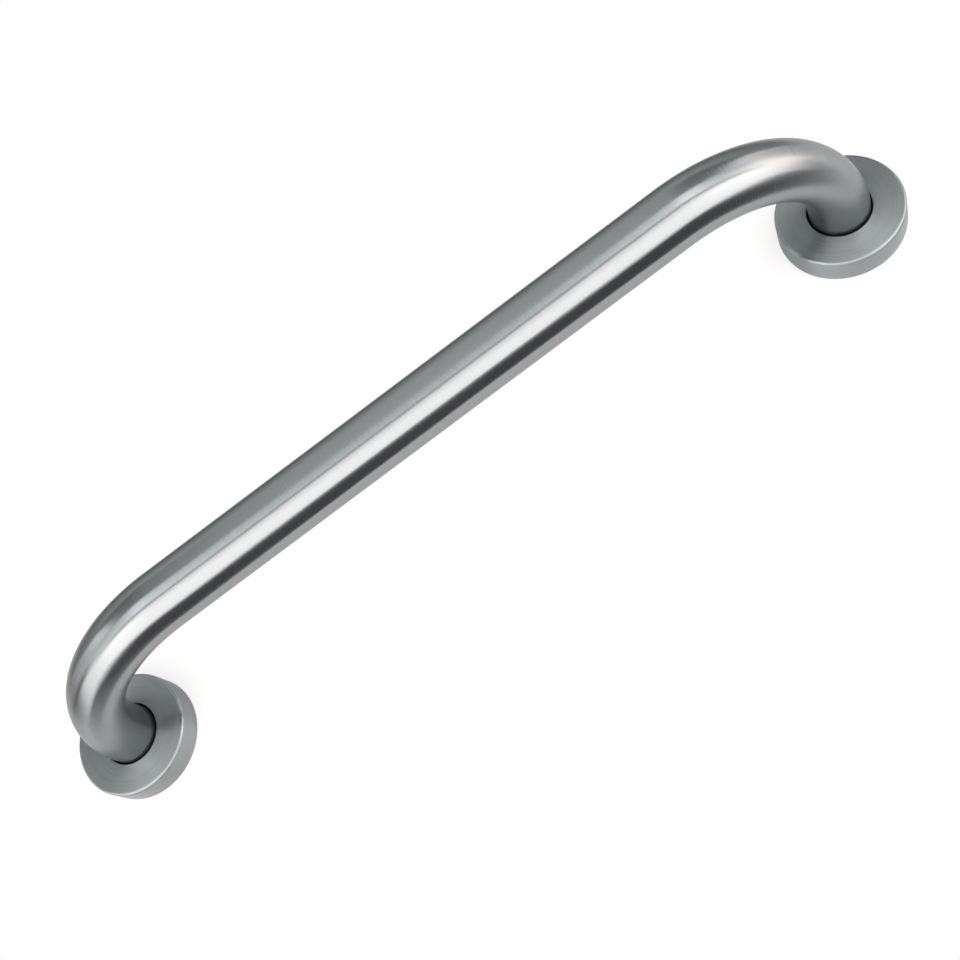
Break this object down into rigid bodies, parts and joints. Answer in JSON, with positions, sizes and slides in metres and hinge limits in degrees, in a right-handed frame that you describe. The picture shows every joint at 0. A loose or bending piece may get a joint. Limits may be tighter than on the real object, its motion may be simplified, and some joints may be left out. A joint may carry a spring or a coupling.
{
  "type": "grab bar",
  "caption": "Straight bent-tube grab bar in satin stainless steel, with welded mounting plates hidden by round cup covers that lift along the legs.",
  "frame": {"origin": "on the mounting surface, midway between the two legs", "axes": "+X along the bar, +Z away from the mounting surface, +Y across the bar"},
  "size_m": [0.428, 0.053, 0.0925],
  "materials": {
    "tube_steel": "satin, brushed round the tube",
    "cover_steel": "circular brushed face",
    "plate_steel": "mill finish",
    "weld_metal": "as welded"
  },
  "bodies": {
    "bar": {"grab_tube": "tube_steel", "flange_plate_left": "plate_steel", "flange_plate_right": "plate_steel", "weld_bead_left": "weld_metal", "weld_bead_right": "weld_metal"},
    "cover_left": {"cover_left": "cover_steel"},
    "cover_right": {"cover_right": "cover_steel"}
  },
  "joints": [
    {"name": "cover_left_slide", "type": "slide", "parent": "bar", "child": "cover_left", "axis": [0, 0, 1], "range_m": [0, 0.008]},
    {"name": "cover_right_slide", "type": "slide", "parent": "bar", "child": "cover_right", "axis": [0, 0, 1], "range_m": [0, 0.008]}
  ]
}
